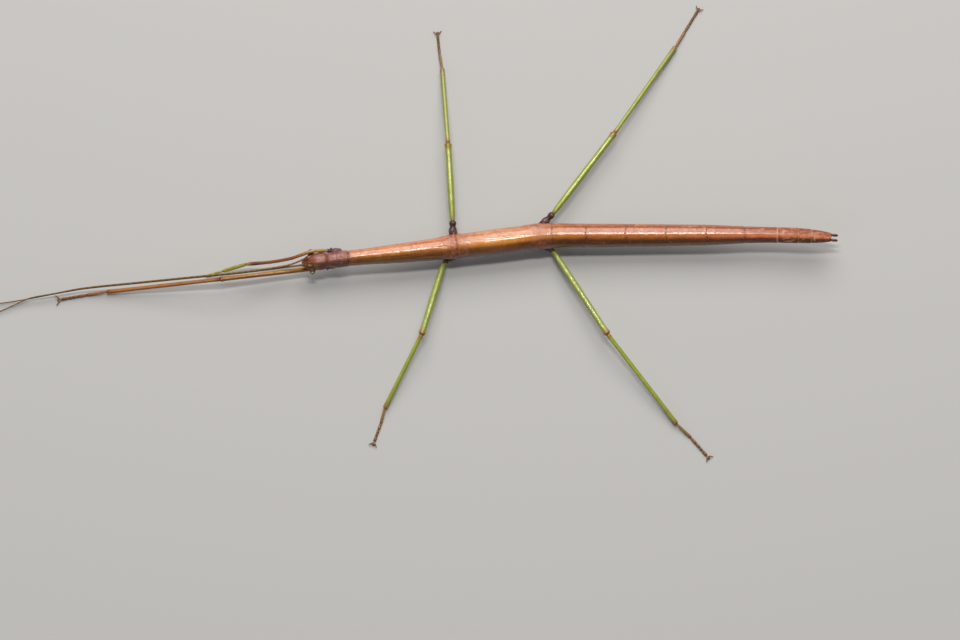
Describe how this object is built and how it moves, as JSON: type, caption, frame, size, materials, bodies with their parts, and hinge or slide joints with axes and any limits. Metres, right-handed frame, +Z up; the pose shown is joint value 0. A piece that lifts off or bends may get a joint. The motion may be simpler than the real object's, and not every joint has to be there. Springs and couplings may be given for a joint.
{
  "type": "giant stick insect",
  "caption": "Life-size giant stick insect at rest, long copper body, thin green legs spread, fore legs and feelers stretched ahead.",
  "frame": {"origin": "on the floor, under the middle of the box round the whole insect", "axes": "+X from the head toward the tail, +Y toward the insect's right side, +Z up"},
  "size_m": [0.254, 0.1322, 0.0092],
  "materials": {
    "copper_cuticle": "glossy copper-brown body cuticle",
    "head_cuticle": "dull purple-brown head cuticle",
    "dark_cuticle": "dark purple-brown cuticle of hips, tail plate and tail feelers",
    "green_leg": "satin lime-green leg cuticle",
    "amber_leg": "satin amber leg cuticle",
    "foot_brown": "brown foot cuticle",
    "feeler_brown": "dull brown feeler cuticle",
    "eye": "glossy compound eye",
    "claw": "dark glossy claw"
  },
  "bodies": {
    "root": {"head": "head_cuticle", "eye_left": "eye", "feeler_base_left": "head_cuticle", "feeler_left": "feeler_brown", "eye_right": "eye", "feeler_base_right": "head_cuticle", "feeler_right": "feeler_brown", "mouthparts": "head_cuticle", "prothorax": "copper_cuticle", "mesothorax": "copper_cuticle", "metathorax": "copper_cuticle", "abdomen_2": "copper_cuticle", "abdomen_3": "copper_cuticle", "abdomen_4": "copper_cuticle", "abdomen_5": "copper_cuticle", "abdomen_6": "copper_cuticle", "abdomen_7": "copper_cuticle", "abdomen_8": "copper_cuticle", "abdomen_9": "copper_cuticle", "abdomen_10": "copper_cuticle", "operculum": "dark_cuticle", "cercus_left": "dark_cuticle", "cercus_right": "dark_cuticle", "coxa_front_left": "dark_cuticle", "femur_front_left": "amber_leg", "tibia_front_left": "amber_leg", "tarsus_front_left": "foot_brown", "claws_front_left": "claw", "coxa_front_right": "dark_cuticle", "femur_front_right": "foot_brown", "tibia_front_right": "green_leg", "tarsus_front_right": "green_leg", "coxa_middle_left": "dark_cuticle", "femur_middle_left": "green_leg", "tibia_middle_left": "green_leg", "tarsus_middle_left": "foot_brown", "claws_middle_left": "claw", "coxa_middle_right": "dark_cuticle", "femur_middle_right": "green_leg", "tibia_middle_right": "green_leg", "tarsus_middle_right": "foot_brown", "claws_middle_right": "claw", "coxa_hind_left": "dark_cuticle", "femur_hind_left": "green_leg", "tibia_hind_left": "green_leg", "tarsus_hind_left": "foot_brown", "claws_hind_left": "claw", "coxa_hind_right": "dark_cuticle", "femur_hind_right": "green_leg", "tibia_hind_right": "green_leg", "tarsus_hind_right": "foot_brown", "claws_hind_right": "claw"}
  },
  "joints": []
}
